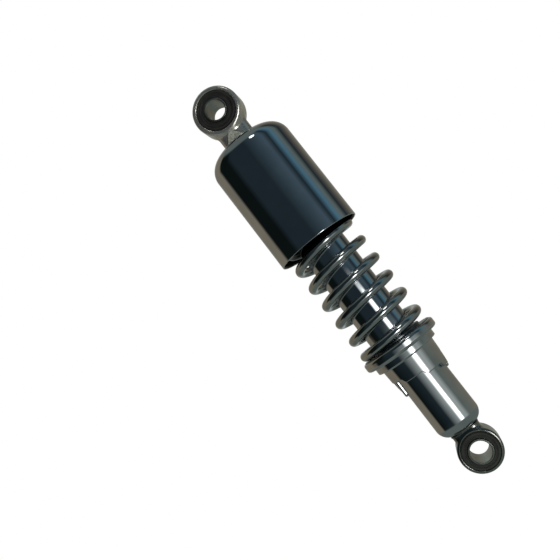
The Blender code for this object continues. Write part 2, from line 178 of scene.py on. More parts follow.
cover_low, cover_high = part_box("upper_shroud")
cover_r = (cover_high[0] - cover_low[0]) / 2
cover_top, cover_rim = cover_high[2], cover_low[2]
cover_wall = 1.0 * MM
shoulder_r = 13 * MM
crown_hole_r = 5.6 * MM
roll_r, roll_support = 0.4 * MM, 0.2 * MM
roll_inward, roll_height, wall_start = 0.5 * MM, 1.6 * MM, 2.4 * MM

cover_chrome = bright_chrome("bright_chrome_cover", ("#d9dde4", "#e4e7ec"), 26 * MM, (1, 1, 0.12))
shoulder = (cover_r - shoulder_r, cover_top - shoulder_r)
cover_profile = [(crown_hole_r, cover_top)] + arc(shoulder, shoulder_r, 90, 0, 24)
cover_profile += upright(cover_r, cover_r, shoulder[1], cover_rim + roll_r, 10)
cover_profile += [(cover_r, cover_rim + roll_r + roll_support)]
cover_profile += arc((cover_r - roll_r, cover_rim + roll_r), roll_r, 0, -180, 8)
inside_r = cover_r - cover_wall
cover_profile += [(inside_r - roll_inward, cover_rim + roll_height), (inside_r, cover_rim + wall_start)]
cover_profile += arc(shoulder, shoulder_r - cover_wall, 0, 90, 16)
cover_profile += [(crown_hole_r, cover_top - cover_wall)]
cover = revolve("upper_cover", cover_profile, 256, cover_chrome)

# The inside is dull and dark: its near-black colour is painted shade inside the cover.
painted_shade_inside = bright_chrome("painted_shade_inside_cover", ("#1f2221", "#2b2d2b"), 26 * MM, (1, 1, 0.12),
                             (0.25, 0.4))
cover.data.materials.append(painted_shade_inside)
for face in cover.data.polygons:
    outward = face.center.x * face.normal.x + face.center.y * face.normal.y
    if outward < -0.2 * cover_r and face.center.z > cover_rim + roll_r:
        face.material_index = 1

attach(cover, "upper_half")
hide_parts("upper_shroud")


# ---- Upper eye -----------------------------------------------------------------------------------
# A forged steel eye on a short oval neck that stands on the cover and takes the rod's thread. The
# flash is ground off, the edges are rounded over, and it is plated like the cover.
def fitted_mesh(name, distance, low, high, cell, material):
    """The surface where a distance function is zero: each grid cell that it crosses gets one point,
    which is then pulled onto the surface along the gradient. The gradient is also its normal."""
    counts = [int(math.ceil((b - a) / cell)) + 1 for a, b in zip(low, high)]
    axes = [a + cell * np.arange(n) for a, n in zip(low, counts)]
    inside = distance(*np.meshgrid(*axes, indexing="ij")) < 0
    eighths = np.stack([inside[i:counts[0] - 1 + i, j:counts[1] - 1 + j, k:counts[2] - 1 + k]
                        for i in (0, 1) for j in (0, 1) for k in (0, 1)])
    crossed = eighths.any(0) & ~eighths.all(0)
    index = np.full(crossed.shape, -1)
    index[crossed] = np.arange(crossed.sum())
    points = np.argwhere(crossed) * cell + np.array(low) + cell / 2

    def gradient(at):
        step = cell / 60
        return np.stack([(distance(*(at + step * way).T) - distance(*(at - step * way).T))
                         / (2 * step) for way in np.eye(3)], axis=1)

    for _ in range(6):
        slope = gradient(points)
        steep = np.maximum((slope ** 2).sum(1), 0.1)
        move = -(distance(*points.T) / steep)[:, None] * slope
        reach = np.linalg.norm(move, axis=1, keepdims=True)
        points += move * np.minimum(1, cell / np.maximum(reach, 1e-12))

    faces = []
    for axis, (u, v) in enumerate(((1, 2), (0, 2), (0, 1))):
        near = np.take(inside, range(counts[axis] - 1), axis)
        far = np.take(inside, range(1, counts[axis]), axis)
        at = np.argwhere(near != far)
        corners = []
        for back_u, back_v in ((1, 1), (0, 1), (0, 0), (1, 0)):
            cell_at = at.copy()
            cell_at[:, u] -= back_u
            cell_at[:, v] -= back_v
            corners.append(index[tuple(cell_at.T)])
        quads = np.stack(corners, axis=1)
        turned_in = near[near != far] == (axis == 1)
        quads[turned_in] = quads[turned_in][:, ::-1]
        faces.append(quads)
    mesh = bpy.data.meshes.new(name)
    mesh.from_pydata(points.tolist(), [], np.concatenate(faces).tolist())
    mesh.shade_smooth()
    normals = gradient(points)
    normals /= np.maximum(np.linalg.norm(normals, axis=1, keepdims=True), 1e-9)
    mesh.normals_split_custom_set_from_vertices(normals.tolist())
    mesh.materials.append(material)
    thing = bpy.data.objects.new(name, mesh)
    bpy.context.scene.collection.objects.link(thing)
    return thing


def soft_union(a, b, fillet):
    """The distance to two solids joined with a fillet."""
    share = np.clip(0.5 + 0.5 * (b - a) / fillet, 0, 1)
    return b * (1 - share) + a * share - fillet * share * (1 - share)


def soft_cut(a, b, rounding):
    """The distance to solid a with solid b cut away, and the new edge rounded."""
    return -soft_union(-a, b, rounding)


def barrel(x, y, z, middle, radius, half, edge):
    """The distance to a bar along Y with rounded edges."""
    across = np.hypot(x, z - middle) - radius + edge
    along = np.abs(y) - half + edge
    return np.hypot(np.maximum(across, 0), np.maximum(along, 0)) \
        + np.minimum(np.maximum(across, along), 0) - edge


def around_box(node, margin=1.5 * MM):
    """A node's corners, moved outward a little, to hold the grid of a fitted mesh."""
    low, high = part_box(node)
    return low - Vector((margin,) * 3), high + Vector((margin,) * 3)


forging_chrome = bright_chrome("worn_chromed_forging", ("#c9c6bc", "#dbd9d0"), 7 * MM, (1, 1, 1),
                              (0.17, 0.23), 0.88)
upper_low, upper_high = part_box("upper_eye")
upper_eye_r = (upper_high.x - upper_low.x) / 2
upper_eye_z = upper_high.z - upper_eye_r
eye_half = (upper_high.y - upper_low.y) / 2
neck_bottom = upper_low.z
neck_half_x, neck_half_y = 13.5 * MM, 10.1 * MM
neck_overlap, neck_fillet = 8 * MM, 3.5 * MM
upper_eye_edge, bore_edge, foot_edge = 2.4 * MM, 0.8 * MM, 0.6 * MM
thread_gap, thread_end_gap = 0.2 * MM, 0.3 * MM
rubber_low, rubber_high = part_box("upper_rubber_bush")
rubber_r = (rubber_high.x - rubber_low.x) / 2
eye_bore_r = rubber_r + 0.15 * MM
rod_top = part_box("piston_rod")[1].z
rod_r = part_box("piston_rod")[1].x


def upper_eye_distance(x, y, z):
    ring = barrel(x, y, z, upper_eye_z, upper_eye_r, eye_half, upper_eye_edge)
    oval = (np.hypot(x / neck_half_x, y / neck_half_y) - 1) * neck_half_y
    neck = np.maximum(oval, z - upper_eye_z + neck_overlap)
    forged = soft_union(ring, neck, neck_fillet)
    bored = soft_cut(forged, np.hypot(x, z - upper_eye_z) - eye_bore_r, bore_edge)
    faced = soft_cut(bored, z - neck_bottom, foot_edge)
    thread = np.maximum(np.hypot(x, y) - rod_r - thread_gap, z - rod_top - thread_end_gap)
    return np.maximum(faced, -thread)


upper_eye = fitted_mesh("upper_forged_eye", upper_eye_distance, *around_box("upper_eye"),
                        0.6 * MM, forging_chrome)
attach(upper_eye, "upper_half")
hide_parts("upper_eye")

# The weld in front of the neck keeps its grey scale, which is matt, pale and lumpy.
weld_scale, weld_shader = new_material("weld_scale", IOR=1.6, Metallic=0.35)
weld_tone = ramp(weld_scale, speckle(weld_scale, 1.6 * MM, 4), [(0.3, "#858879"), (0.7, "#c6c8ba")])
weld_scale.node_tree.links.new(weld_tone, weld_shader.inputs["Base Color"])
weld_scale.node_tree.links.new(spread(weld_scale, speckle(weld_scale, 0.8 * MM, 3), 0.35, 0.6),
                               weld_shader.inputs["Roughness"])
bump(weld_scale, weld_shader, speckle(weld_scale, 1.2 * MM, 4), 0.3 * MM)
weld_side, weld_half, weld_rise = -1.6 * MM, 11 * MM, 13.5 * MM
weld_foot, weld_thinning, weld_edge, weld_sunk = 2.2 * MM, 1.2 * MM, 1.2 * MM, 0.6 * MM
weld_taper = 4 * MM


def weld_distance(x, y, z):
    """A three-cornered patch of weld run up the front of the neck from the cover."""
    up = (z - neck_bottom) / weld_rise
    lumps = 0.25 * MM * np.sin(x * 2600 + 1) * np.sin(z * 2100)
    ripples = 0.12 * MM * np.sin(x * 5200 + z * 4700)
    sides = (np.abs(x - weld_side) / weld_half + up - 1) * weld_taper
    thick = weld_foot - weld_thinning * up + lumps + ripples
    front = -(np.hypot(x / neck_half_x, y / neck_half_y) - 1) * neck_half_y
    patch = soft_cut(-front - thick, -sides, weld_edge)
    patch = np.maximum(patch, front - weld_sunk)
    return np.maximum(np.maximum(patch, neck_bottom - z), y)


weld_low = (weld_side - weld_half - 2 * MM, -neck_half_y - 4 * MM, neck_bottom - 1 * MM)
weld_high = (weld_side + weld_half + 2 * MM, -0.2 * neck_half_y, neck_bottom + weld_rise + 2 * MM)
weld = fitted_mesh("upper_neck_weld", weld_distance, weld_low, weld_high, 0.45 * MM, weld_scale)
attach(weld, "upper_half")


# ---- Rubber bushes -------------------------------------------------------------------------------
# Natural rubber moulded between each eye and its inner sleeve, and bonded to both. The faces are
# dished between a thin outer lip and the sleeve. The rubber is near black and matt, and the lower
# bush is a shade lighter.
def moulded_rubber(name, dark, light, grain):
    """Moulded rubber: matt, almost black, mottled where the mould's release agent has dried."""
    material, shader = new_material(name, IOR=1.5)
    blotch = speckle(material, 9 * MM, 3)
    colour = ramp(material, blotch, [(0.3, dark), (0.7, light)])
    material.node_tree.links.new(colour, shader.inputs["Base Color"])
    material.node_tree.links.new(spread(material, speckle(material, 3 * MM, 4), 0.45, 0.75),
                                 shader.inputs["Roughness"])
    bump(material, shader, speckle(material, grain, 4), 0.05 * MM, 0.5)
    return material


def lay_along_y(thing, z):
    """Turns a lathe-turned piece to lie along Y at a height, in its mesh."""
    thing.data.transform(Matrix.Translation((0, 0, z)) @ Matrix.Rotation(math.pi / 2, 4, "X"))
    return thing


bush_rubber = moulded_rubber("moulded_bush_rubber", "#191a17", "#252521", 0.5 * MM)
# The lower bush has a lighter copy of the same rubber.
lighter_rubber = moulded_rubber("lighter_bush_rubber", "#242521", "#31322c", 0.5 * MM)
sleeve_low, sleeve_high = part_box("upper_inner_sleeve")
sleeve_r = (sleeve_high.x - sleeve_low.x) / 2
sleeve_half = (sleeve_high.y - sleeve_low.y) / 2
rubber_half = (rubber_high.y - rubber_low.y) / 2
rubber_bore_r = sleeve_r + 0.12 * MM
for end, eye_body, rubber in (("upper", "upper_half", bush_rubber),
                              ("lower", "lower_half", lighter_rubber)):
    low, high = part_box(end + "_rubber_bush")
    bush_r = (high.x - low.x) / 2
    dish_r = (rubber_bore_r + bush_r - 1.2 * MM) / 2
    face = [(rubber_bore_r, rubber_half - 0.5 * MM)]
    face += arc((rubber_bore_r + 0.7 * MM, rubber_half - 0.6 * MM), 0.6 * MM, 150, 40, 5)
    face += arc((dish_r, rubber_half + 0.55 * MM), (dish_r - rubber_bore_r) * 0.75, -135, -45, 8)
    face += arc((bush_r - 1.5 * MM, rubber_half - 1.1 * MM), 1.1 * MM, 115, 0, 7)
    face += [(bush_r - 0.4 * MM, rubber_half - 1.5 * MM), (bush_r, eye_half - 0.6 * MM)]
    bush = revolve(end + "_bonded_bush", face + [(r, -y) for r, y in reversed(face)], 96, rubber)
    lay_along_y(bush, (low.z + high.z) / 2)
    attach(bush, eye_body)
    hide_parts(end + "_rubber_bush")


# ---- Inner sleeves -------------------------------------------------------------------------------
# Thick steel sleeves, cut from tube and turned at the ends, which the mounting bolts clamp. They are
# bare grey steel with a thin film of oil, and fine turning marks run round them.
def turned_steel(name, dark, light, rough, ridge, axis_scale):
    """Turned steel: fine tool marks round the axis, over slow patches of tarnish."""
    material, shader = new_material(name, Metallic=1.0)
    tarnish = speckle(material, 6 * MM, 4)
    colour = ramp(material, tarnish, [(0.3, dark), (0.7, light)])
    material.node_tree.links.new(colour, shader.inputs["Base Color"])
    marks = speckle(material, ridge, 2, axis_scale)
    material.node_tree.links.new(spread(material, marks, rough - 0.08, rough + 0.1),
                                 shader.inputs["Roughness"])
    bump(material, shader, marks, 0.01 * MM, 0.6)
    return material


sleeve_steel = turned_steel("turned_sleeve_steel", "#a2a49e", "#bcbdb5", 0.34, 0.3 * MM, (0.05, 1, 0.05))
sleeve_bore_r = 7.8 * MM
chamfer, sleeve_edge = 0.5 * MM, 0.35 * MM
for end, body in (("upper", "upper_sleeve"), ("lower", "lower_sleeve")):
    low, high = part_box(end + "_inner_sleeve")
    shape = [(sleeve_bore_r, sleeve_half - chamfer), (sleeve_bore_r + chamfer, sleeve_half)]
    shape += arc((sleeve_r - sleeve_edge, sleeve_half - sleeve_edge), sleeve_edge, 90, 0, 4)
    shape = shape + [(r, -y) for r, y in reversed(shape)]
    sleeve = revolve(end + "_steel_sleeve", shape, 96, sleeve_steel)
    lay_along_y(sleeve, (low.z + high.z) / 2)
    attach(sleeve, body)
    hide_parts(end + "_inner_sleeve")


# ---- Damper body ---------------------------------------------------------------------------------
# The seamless outer tube with its bottom drawn in to a rounded corner, and its mouth rolled in over
# the gland. Ground, polished and plated with bright chrome.
tube_chrome = bright_chrome("bright_chrome_tube", ("#d5d9de", "#e3e6ea"), 22 * MM, (1, 1, 0.15))
tube_low, tube_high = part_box("damper_body")
tube_r = tube_high.x
tube_wall = 1.6 * MM
corner_r = 9 * MM
floor_z = tube_low.z + 2 * MM
tube_top = tube_high.z
inner_corner = corner_r - tube_wall
lip_r = 0.75 * MM
tube_profile = [(0, floor_z)]
tube_profile += arc((tube_r - corner_r, floor_z + inner_corner), inner_corner, -90, 0, 10)
tube_profile += [(tube_r - tube_wall, tube_top - lip_r)]
tube_profile += arc((tube_r - lip_r, tube_top - lip_r), lip_r, 150, 0, 7)
tube_profile += upright(tube_r, tube_r, tube_top - lip_r, tube_low.z + corner_r, 14)
tube_profile += arc((tube_r - corner_r, tube_low.z + corner_r), corner_r, 0, -90, 20)
tube_profile += [(0, tube_low.z)]
tube = revolve("damper_outer_tube", tube_profile, 192, tube_chrome)
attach(tube, "lower_half")
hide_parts("damper_body")


# ---- Lower eye -----------------------------------------------------------------------------------
# A smaller eye with a thin wall, on a squarish oval neck that is welded under the damper body. The
# bead is dressed and plated over with the rest.
# Its chrome is tinted darker than the other plating: painted shade for the dark reflections in the ring.
eye_chrome = bright_chrome("bright_chrome_eye", ("#a3a49f", "#b6b6b0"), 9 * MM, (1, 1, 1),
                           (0.15, 0.19))
lower_low, lower_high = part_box("lower_eye")
lower_eye_r = (lower_high.x - lower_low.x) / 2
lower_eye_z = lower_low.z + lower_eye_r
lower_neck_x, lower_neck_y = 11.2 * MM, 10.1 * MM
squareness = 4
lower_overlap, lower_fillet = 7 * MM, 1.4 * MM
lower_eye_edge, lower_bore_edge = 1.8 * MM, 0.5 * MM
lower_bore_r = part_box("lower_rubber_bush")[1].x + 0.15 * MM
neck_top = lower_high.z


def lower_eye_distance(x, y, z):
    ring = barrel(x, y, z, lower_eye_z, lower_eye_r, eye_half, lower_eye_edge)
    powers = (x / lower_neck_x) ** squareness + (y / lower_neck_y) ** squareness + 1e-9
    oval = (powers ** (1 / squareness) - 1) * lower_neck_y
    neck = np.maximum(oval, lower_eye_z + lower_overlap - z)
    forged = soft_union(ring, neck, lower_fillet)
    bored = soft_cut(forged, np.hypot(x, z - lower_eye_z) - lower_bore_r, lower_bore_edge)
    return soft_cut(bored, neck_top - z, foot_edge)


lower_eye = fitted_mesh("lower_forged_eye", lower_eye_distance, *around_box("lower_eye"),
                        0.4 * MM, eye_chrome)
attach(lower_eye, "lower_half")
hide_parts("lower_eye")

bead_steps, bead_sides = 220, 14
bead_thick, bead_sunk = 0.7 * MM, 0.1 * MM
bead_flatness = 0.75
bead_mesh = bpy.data.meshes.new("lower_eye_weld")
bead_points = []
for i in range(bead_steps):
    around = 2 * math.pi * i / bead_steps
    swell = 1 + 0.05 * math.sin(around * 31) + 0.04 * math.sin(around * 17 + 1)
    for j in range(bead_sides):
        turn = 2 * math.pi * j / bead_sides
        out = bead_thick * swell * math.cos(turn) - bead_sunk
        powers = math.cos(around) ** squareness + math.sin(around) ** squareness
        square = powers ** (-1 / squareness)
        bead_points.append(((lower_neck_x * square + out) * math.cos(around),
                            (lower_neck_y * square + out) * math.sin(around),
                            neck_top + bead_sunk + bead_flatness * bead_thick * swell * math.sin(turn)))
bead_faces = [(i * bead_sides + j, (i + 1) % bead_steps * bead_sides + j,
               (i + 1) % bead_steps * bead_sides + (j + 1) % bead_sides,
               i * bead_sides + (j + 1) % bead_sides)
              for i in range(bead_steps) for j in range(bead_sides)]
bead_mesh.from_pydata(bead_points, [], bead_faces)
bead_mesh.shade_smooth()
bead_mesh.materials.append(eye_chrome)
bead = bpy.data.objects.new("lower_eye_weld", bead_mesh)
bpy.context.scene.collection.objects.link(bead)
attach(bead, "lower_half")


# ---- Coil spring ---------------------------------------------------------------------------------
# Cold-wound spring steel wire with both end turns closed down and cut square, then plated. The
# plate is bright, and a little less even than on the tube because the wire is not ground.
wire_chrome = bright_chrome("bright_chrome_wire", ("#c3c6c8", "#d9dbdc"), 12 * MM, (1, 1, 1),
                            (0.06, 0.11))
# Painted shade: the wire's colour turns darker from the rim of the cover upwards, where the coils stand
# in its shade.
wire_colour = wire_chrome.node_tree.nodes["Principled BSDF"].inputs["Base Color"]
wire_place = add_node(wire_chrome, "ShaderNodeTexCoord").outputs["Object"]
wire_up = add_node(wire_chrome, "ShaderNodeSeparateXYZ", Vector=wire_place).outputs["Z"]
lit_below, shaded_above = cover_rim - 0.5 * MM, cover_rim + 2.0 * MM
painted_shade_share = add_node(wire_chrome, "ShaderNodeMapRange",
                   {"From Min": lit_below, "From Max": shaded_above}, Value=wire_up)
shaded = add_node(wire_chrome, "ShaderNodeMix", {"data_type": "RGBA"}, in0=painted_shade_share.outputs["Result"])
wire_chrome.node_tree.links.new(wire_colour.links[0].from_socket, shaded.inputs[6])
shaded.inputs[7].default_value = linear("#3a3e3d")
wire_chrome.node_tree.links.new(shaded.outputs[2], wire_colour)

wire_r = 3.6 * MM
spring_outer_r = 29.35 * MM
spring_low, spring_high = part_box("coil_spring")
mean_r = spring_outer_r - wire_r
pitch = 16.5 * MM
first_turn_z = spring_low.z + wire_r
last_turn_z = spring_high.z - wire_r
closing = math.pi
flat = math.pi / 2
tip_angle = math.radians(60)
free = (last_turn_z - first_turn_z) / pitch * 2 * math.pi - closing
whole_turn = flat + closing + free + closing + flat


def wire_height(angle):
    """Height of the wire's centre at an angle from the lower tip: flat, rising, flat again."""
    turning = min(max(angle - flat, 0), closing)
    height = turning ** 2 / (2 * closing) + min(max(angle - flat - closing, 0), free)
    left = min(max(angle - flat - closing - free, 0), closing)
    return first_turn_z + (height + left - left ** 2 / (2 * closing)) * pitch / (2 * math.pi)


wire_sides, steps_per_turn = 28, 120
wire_steps = round(whole_turn / (2 * math.pi) * steps_per_turn)
wire_points, wire_faces = [], []
end_round = 0.7 * MM
for i in range(wire_steps + 1):
    angle = whole_turn * i / wire_steps
    around = tip_angle + angle
    centre = Vector((mean_r * math.cos(around), mean_r * math.sin(around), wire_height(angle)))
    outward = Vector((math.cos(around), math.sin(around), 0))
    rise = (wire_height(angle + 0.01) - wire_height(angle - 0.01)) / 0.02
    ahead = Vector((-mean_r * math.sin(around), mean_r * math.cos(around), rise)).normalized()
    upward = outward.cross(ahead)
    from_end = min(i, wire_steps - i) * whole_turn / wire_steps * mean_r
    shrink = end_round - math.sqrt(max(end_round ** 2 - max(end_round - from_end, 0) ** 2, 0))
    for j in range(wire_sides):
        turn = 2 * math.pi * j / wire_sides
        spoke = outward * math.cos(turn) + upward * math.sin(turn)
        wire_points.append(centre + spoke * (wire_r - shrink))
for i in range(wire_steps):
    for j in range(wire_sides):
        beside = (j + 1) % wire_sides
        wire_faces.append((i * wire_sides + j, i * wire_sides + beside,
                           (i + 1) * wire_sides + beside, (i + 1) * wire_sides + j))
wire_faces.append(tuple(range(wire_sides - 1, -1, -1)))
wire_faces.append(tuple(wire_steps * wire_sides + j for j in range(wire_sides)))
spring_mesh = bpy.data.meshes.new("coil_spring_wire")
spring_mesh.from_pydata(wire_points, [], wire_faces)
wire_shape = bmesh.new()
wire_shape.from_mesh(spring_mesh)
bmesh.ops.recalc_face_normals(wire_shape, faces=wire_shape.faces)
wire_shape.to_mesh(spring_mesh)
wire_shape.free()
spring_mesh.shade_smooth()
spring_mesh.set_sharp_from_angle(angle=math.radians(40))
spring_mesh.materials.append(wire_chrome)
spring = bpy.data.objects.new("coil_spring_wire", spring_mesh)
bpy.context.scene.collection.objects.link(spring)
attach(spring, "spring_seat")
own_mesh(spring)
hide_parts("coil_spring")


# ---- Spring seat washer --------------------------------------------------------------------------
# A pressed steel washer between the spring and the cam, with a turned-up lip inside the coils that
# keeps them central. Its rim is rounded, and its plating is duller than that of the cam.
washer_low, washer_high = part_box("spring_seat_washer")
washer_r = washer_high.x
tube_gap = 0.35 * MM
washer_bore = tube_r + tube_gap
washer_face = washer_low.z + 1.2 * MM
lip_gap, lip_edge, lip_chamfer = 0.6 * MM, 1.2 * MM, 0.3 * MM
lip_out = spring_outer_r - 2 * wire_r - lip_gap
washer_edge = 0.5 * MM
washer_profile = [(washer_bore, washer_high.z - lip_chamfer),
                  (washer_bore + lip_chamfer, washer_high.z)]
washer_profile += arc((lip_out - lip_edge, washer_high.z - lip_edge), lip_edge, 90, 0, 6)
washer_profile += [(lip_out, washer_face + washer_edge), (lip_out + washer_edge, washer_face)]
washer_profile += arc((washer_r - washer_edge, washer_face - washer_edge), washer_edge, 90, 0, 5)
washer_profile += arc((washer_r - washer_edge, washer_low.z + washer_edge), washer_edge, 0, -90, 5)
washer_profile += [(washer_bore, washer_low.z)]
washer_plate = bright_chrome("darker_washer_plate", ("#7f8486", "#94989a"), 9 * MM, (1, 1, 1),
                             (0.22, 0.38))
washer = revolve("spring_seat_washer_plated", washer_profile, 160, washer_plate)
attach(washer, "spring_seat")
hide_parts("spring_seat_washer")


# ---- Preload cam ---------------------------------------------------------------------------------
# The adjuster: a spanner flange with three slots on one side, and a sleeve whose lower edge is cut
# as a stepped cam, twice round. A casting with rounded edges, polished and plated.
cam_chrome = bright_chrome("bright_chrome_cam", ("#d2d5d8", "#e2e4e7"), 9 * MM, (1, 1, 0.6),
                           (0.03, 0.08))
cam_low, cam_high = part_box("preload_cam")
flange_r = 31 * MM
flange_height = 7.3 * MM
flange_edge = 2.2 * MM
rim_inner_r, rim_height, rim_edge = 29.3 * MM, 1.1 * MM, 0.5 * MM
flange_bottom = cam_high.z - flange_height
collar_r = 25.6 * MM
collar_bottom = flange_bottom - 5.3 * MM
collar_edge, collar_overlap, sleeve_overlap = 0.7 * MM, 2 * MM, 3 * MM
cam_sleeve_r, cam_foot_r, cam_foot_edge = 22.2 * MM, 21 * MM, 0.4 * MM
cam_fillet, cam_bore_edge = 0.8 * MM, 0.5 * MM
cam_step = 3.5 * MM
steps_in_cam = 3
cam_rest_z = cam_low.z + steps_in_cam * cam_step
first_step, step_turn, step_ramp = math.radians(63), math.radians(45), math.radians(9)
cam_start = math.radians(177)
slot_count, slot_edge = 3, 0.9 * MM
slot_width, slot_floor, slot_pitch = 6 * MM, 28.4 * MM, math.radians(52)


def eased(share):
    """A 0 to 1 ramp with rounded ends."""
    share = np.clip(share, 0, 1)
    return share * share * (3 - 2 * share)


def cam_edge(around):
    """Height of the cam's lower edge: a level rest, three steps down, and back up, twice round."""
    beyond = (around - cam_start) % math.pi
    drop = np.zeros_like(beyond)
    for step in range(steps_in_cam):
        end = first_step + step_turn * step
        drop += cam_step * eased((beyond - end + step_ramp) / step_ramp)
    back = eased((beyond - math.pi + step_ramp) / step_ramp)
    return cam_rest_z - drop * (1 - back)


def turned_slab(radius, z, outer, bottom, top, edge):
    """The distance to a disc with rounded edges."""
    across = radius - outer + edge
    along = np.abs(z - (top + bottom) / 2) - (top - bottom) / 2 + edge
    return np.hypot(np.maximum(across, 0), np.maximum(along, 0)) \
        + np.minimum(np.maximum(across, along), 0) - edge


def cam_distance(x, y, z):
    radius = np.hypot(x, y)
    flange = turned_slab(radius, z, flange_r, flange_bottom, cam_high.z, flange_edge)
    seat = np.maximum(radius - rim_inner_r, cam_high.z - rim_height - z)
    flange = soft_cut(flange, seat, rim_edge)
    for i in range(slot_count):
        way = math.pi / 2 + slot_pitch * (i - 1)
        out = x * math.cos(way) + y * math.sin(way)
        side = -x * math.sin(way) + y * math.cos(way)
        slot = np.maximum(np.abs(side) - slot_width / 2, slot_floor - out)
        flange = soft_cut(flange, slot, slot_edge)
    collar = turned_slab(radius, z, collar_r, collar_bottom, cam_high.z - collar_overlap, collar_edge)
    taper = (cam_sleeve_r - cam_foot_r) / (collar_bottom - cam_low.z)
    sleeve = radius - (cam_sleeve_r - taper * np.clip(collar_bottom - z, 0, 1))
    sleeve = soft_cut(sleeve, z - cam_edge(np.arctan2(y, x)), cam_foot_edge)
    sleeve = np.maximum(sleeve, z - cam_high.z + sleeve_overlap)
    solid = soft_union(soft_union(flange, collar, cam_fillet), sleeve, cam_fillet)
    return soft_cut(solid, radius - tube_r - tube_gap, cam_bore_edge)


cam = fitted_mesh("preload_cam_ring", cam_distance, *around_box("preload_cam"), 0.55 * MM, cam_chrome)
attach(cam, "preload_adjuster")
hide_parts("preload_cam")


# ---- Stop lugs -----------------------------------------------------------------------------------
# Two curved steel pads welded to the tube half a turn apart, which the cam's notches sit on. The
# corners are rounded, more so at the lower end, and they are plated with the tube.
lug_half_angle = math.radians(8)
lug_lower_corner, lug_upper_corner, lug_edge = 2.2 * MM, 0.9 * MM, 1.5 * MM
weld_seam = 0.02 * MM
for side, lug_turn in (("left", 190), ("right", 10)):
    lug_low, lug_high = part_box("cam_stop_lug_" + side)
    lug_middle = math.radians(lug_turn)
    lug_outer = max(abs(lug_low.x), abs(lug_high.x))
    lug_half_width = lug_half_angle * lug_outer
    lug_z = (lug_low.z + lug_high.z) / 2
    lug_half_height = (lug_high.z - lug_low.z) / 2

    def lug_distance(x, y, z):
        radius = np.hypot(x, y)
        along = np.angle((x + 1j * y) * np.exp(-1j * lug_middle)) * lug_outer
        corner = np.where(z < lug_z, lug_lower_corner, lug_upper_corner)
        wide = np.abs(along) - lug_half_width + corner
        tall = np.abs(z - lug_z) - lug_half_height + corner
        outline = np.hypot(np.maximum(wide, 0), np.maximum(tall, 0)) \
            + np.minimum(np.maximum(wide, tall), 0) - corner
        pad = soft_cut(radius - lug_outer, -outline, lug_edge)
        return np.maximum(pad, tube_r + weld_seam - radius)

    lug = fitted_mesh("stop_lug_" + side, lug_distance, *around_box("cam_stop_lug_" + side),
                      0.4 * MM, cam_chrome)
    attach(lug, "lower_half")
    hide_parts("cam_stop_lug_" + side)


# ---- Rod and the pieces on it under the cover ----------------------------------------------------
# The ground rod with its thread in the upper eye, the pressed seat plate under the cover's top, the
# rubber isolator over the spring, and the waisted rubber buffer that stops the stroke.
def machined(name, dark, light, rough, grain, metallic=1.0):
    """A machined metal: one tone with slow tarnish and fine grain in its gloss."""
    material, shader = new_material(name, Metallic=metallic)
    colour = ramp(material, speckle(material, 5 * MM, 4), [(0.3, dark), (0.7, light)])
    material.node_tree.links.new(colour, shader.inputs["Base Color"])
    fine = speckle(material, grain, 3)
    material.node_tree.links.new(spread(material, fine, rough - 0.06, rough + 0.08),
                                 shader.inputs["Roughness"])
    bump(material, shader, fine, 0.01 * MM, 0.5)
    return material


hard_chrome = bright_chrome("ground_hard_chrome", ("#dcdee1", "#e6e8ea"), 12 * MM, (1, 1, 0.05))
oiled_steel = machined("oiled_pressed_steel", "#8c8a86", "#a5a39e", 0.32, 0.4 * MM)
buffer_rubber = moulded_rubber("moulded_buffer_rubber", "#34322e", "#45423d", 0.7 * MM)

rod_low, rod_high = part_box("piston_rod")
shoulder_z = rod_low.z + 24 * MM
stem_r = 3.5 * MM
thread_bevel, shoulder_bevel, stem_bevel = 0.8 * MM, 0.4 * MM, 0.6 * MM
rod_profile = [(0, rod_high.z), (rod_r - thread_bevel, rod_high.z), (rod_r, rod_high.z - thread_bevel)]
rod_profile += upright(rod_r, rod_r, rod_high.z - thread_bevel, shoulder_z + shoulder_bevel, 10)
rod_profile += [(rod_r, shoulder_z + shoulder_bevel), (rod_r - shoulder_bevel, shoulder_z),
                (stem_r, shoulder_z), (stem_r, rod_low.z + stem_bevel),
                (stem_r - stem_bevel, rod_low.z), (0, rod_low.z)]
rod = revolve("damper_rod", rod_profile, 64, hard_chrome)
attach(rod, "upper_half")
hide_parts("piston_rod")

stop_low, stop_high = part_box("bump_stop")
stop_r = stop_high.x
stop_waist = (stop_low.z + stop_high.z) / 2
rod_gap = 0.25 * MM
stop_bore = rod_r + rod_gap
stop_shoulder, stop_groove, stop_nose = 1.6 * MM, 3.4 * MM, 2.2 * MM
stop_profile = [(stop_bore, stop_high.z)]
stop_profile += arc((stop_r - stop_shoulder, stop_high.z - stop_shoulder), stop_shoulder, 90, 0, 6)
stop_profile += arc((stop_r + 1.2 * MM, stop_waist), stop_groove, 130, 230, 10)
stop_profile += arc((stop_r - 2.6 * MM, stop_low.z + stop_nose), stop_nose, 0, -90, 6)
stop_profile += [(stop_bore, stop_low.z)]
buffer = revolve("rubber_buffer", stop_profile, 96, buffer_rubber)
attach(buffer, "upper_half")
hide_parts("bump_stop")

iso_low, iso_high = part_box("top_spring_isolator")
iso_r, iso_bore, iso_waist = iso_high.x, 21.8 * MM, (iso_low.z + iso_high.z) / 2
iso_edge, iso_groove = 1 * MM, 2.4 * MM
iso_profile = [(iso_bore, iso_high.z)]
iso_profile += arc((iso_r - iso_edge, iso_high.z - iso_edge), iso_edge, 90, 0, 4)
iso_profile += arc((iso_r + 0.6 * MM, iso_waist), iso_groove, 120, 240, 8)
iso_profile += arc((iso_r - iso_edge, iso_low.z + iso_edge), iso_edge, 0, -90, 4)
iso_profile += [(iso_bore, iso_low.z)]
isolator = revolve("rubber_spring_isolator", iso_profile, 96, buffer_rubber)
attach(isolator, "spring_isolator")
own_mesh(isolator)
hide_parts("top_spring_isolator")

